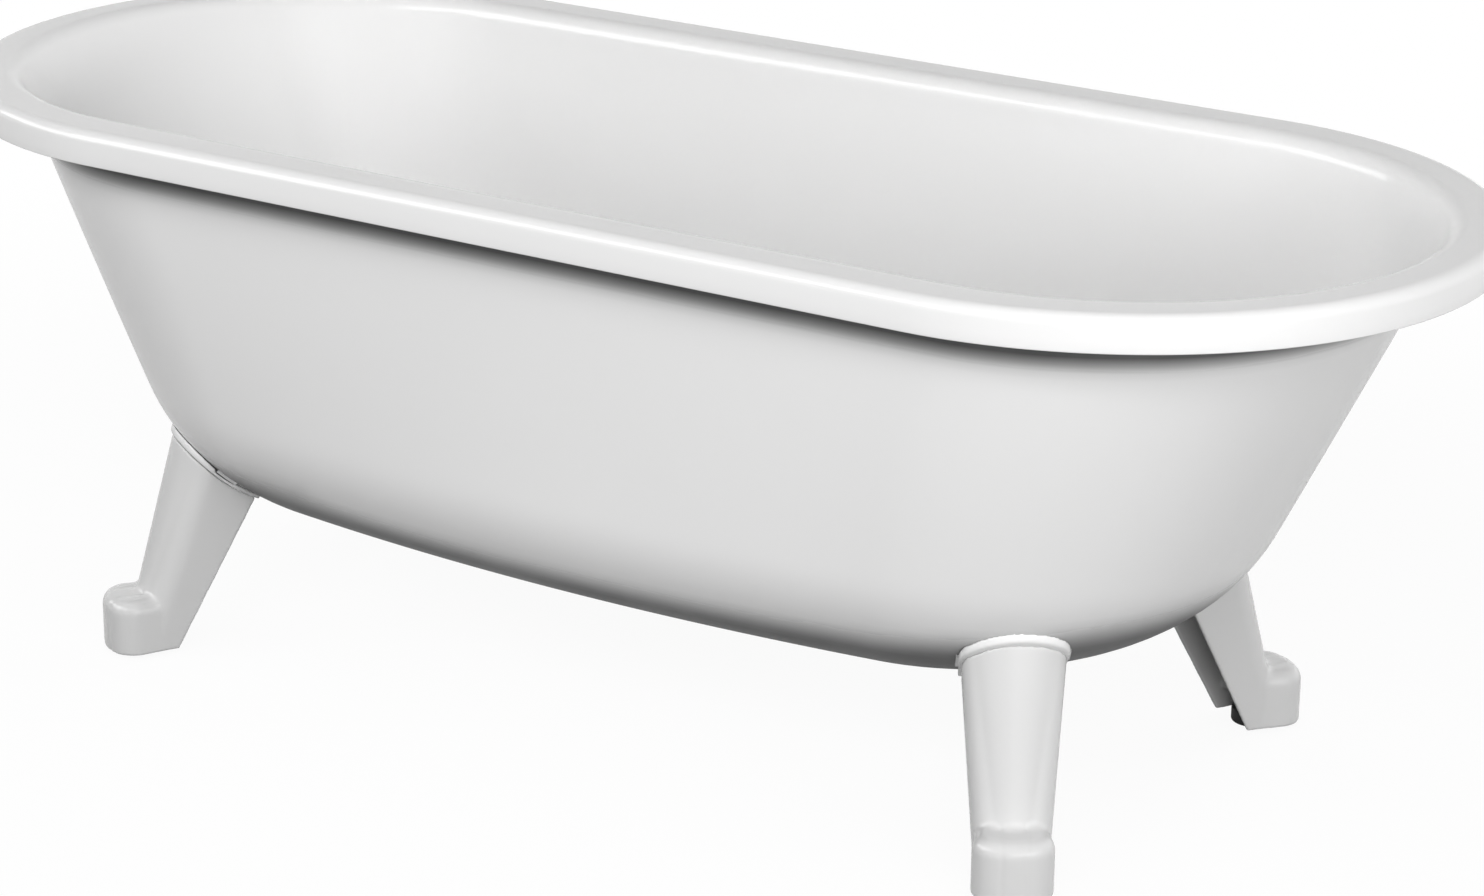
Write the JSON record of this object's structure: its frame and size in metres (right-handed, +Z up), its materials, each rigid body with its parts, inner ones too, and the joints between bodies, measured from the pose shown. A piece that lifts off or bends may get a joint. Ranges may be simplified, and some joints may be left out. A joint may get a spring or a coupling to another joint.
{
  "type": "freestanding bathtub",
  "caption": "Freestanding double-ended bath: a round-ended white enamelled steel tub with a turned-down rim on hollow claw feet with levelling pads and a push-open waste.",
  "frame": {"origin": "on the floor, under the middle of the bath", "axes": "+X along the bath to its right end as the picture shows it, +Y across it to the far side, +Z up"},
  "size_m": [1.7, 0.75, 0.604],
  "materials": {
    "bath_enamel": "glossy white vitreous enamel on pressed steel",
    "foot_enamel": "glossy white enamel on a hollow casting",
    "collar_enamel": "glossy white enamel",
    "chrome": "polished chrome plate",
    "brass": "plain machined brass",
    "spring_steel": "bright stainless wire",
    "zinc_steel": "zinc-plated steel",
    "black_rubber": "matt black rubber",
    "white_plastic": "satin white plastic",
    "grey_felt": "dense grey felt"
  },
  "bodies": {
    "bath": {"tub_shell": "bath_enamel", "waste_body": "chrome", "waste_flange_seal": "black_rubber", "waste_gasket": "black_rubber", "waste_slip_washer": "white_plastic", "waste_back_nut": "brass", "plug_post": "brass", "plug_spring": "spring_steel", "floor_felt_pads": "grey_felt", "earth_tag": "zinc_steel", "earth_screw": "brass", "earth_nut": "brass", "rear_right_foot": "foot_enamel", "rear_right_collar": "collar_enamel", "rear_right_bracket": "zinc_steel", "rear_right_level_lock_nut": "zinc_steel", "rear_left_foot": "foot_enamel", "rear_left_collar": "collar_enamel", "rear_left_bracket": "zinc_steel", "rear_left_level_lock_nut": "zinc_steel", "front_right_foot": "foot_enamel", "front_right_collar": "collar_enamel", "front_right_bracket": "zinc_steel", "front_right_level_lock_nut": "zinc_steel", "front_left_foot": "foot_enamel", "front_left_collar": "collar_enamel", "front_left_bracket": "zinc_steel", "front_left_level_lock_nut": "zinc_steel", "fixing_bolts": "zinc_steel", "fixing_washers": "zinc_steel", "fixing_weld_nuts": "zinc_steel"},
    "plug": {"plug_cap": "chrome", "plug_seal": "black_rubber", "plug_sleeve": "brass"},
    "rear_right_leveller": {"rear_right_level_screw": "zinc_steel", "rear_right_level_pad": "black_rubber"},
    "rear_left_leveller": {"rear_left_level_screw": "zinc_steel", "rear_left_level_pad": "black_rubber"},
    "front_right_leveller": {"front_right_level_screw": "zinc_steel", "front_right_level_pad": "black_rubber"},
    "front_left_leveller": {"front_left_level_screw": "zinc_steel", "front_left_level_pad": "black_rubber"}
  },
  "joints": [
    {"name": "plug_slide", "type": "slide", "parent": "bath", "child": "plug", "axis": [0, 0, 1], "range_m": [0, 0.008], "deforming": ["plug_spring"]},
    {"name": "rear_right_level", "type": "slide", "parent": "bath", "child": "rear_right_leveller", "axis": [0, 0, -1], "range_m": [0, 0.012]},
    {"name": "rear_left_level", "type": "slide", "parent": "bath", "child": "rear_left_leveller", "axis": [0, 0, -1], "range_m": [0, 0.012]},
    {"name": "front_right_level", "type": "slide", "parent": "bath", "child": "front_right_leveller", "axis": [0, 0, -1], "range_m": [0, 0.012]},
    {"name": "front_left_level", "type": "slide", "parent": "bath", "child": "front_left_leveller", "axis": [0, 0, -1], "range_m": [0, 0.012]}
  ]
}
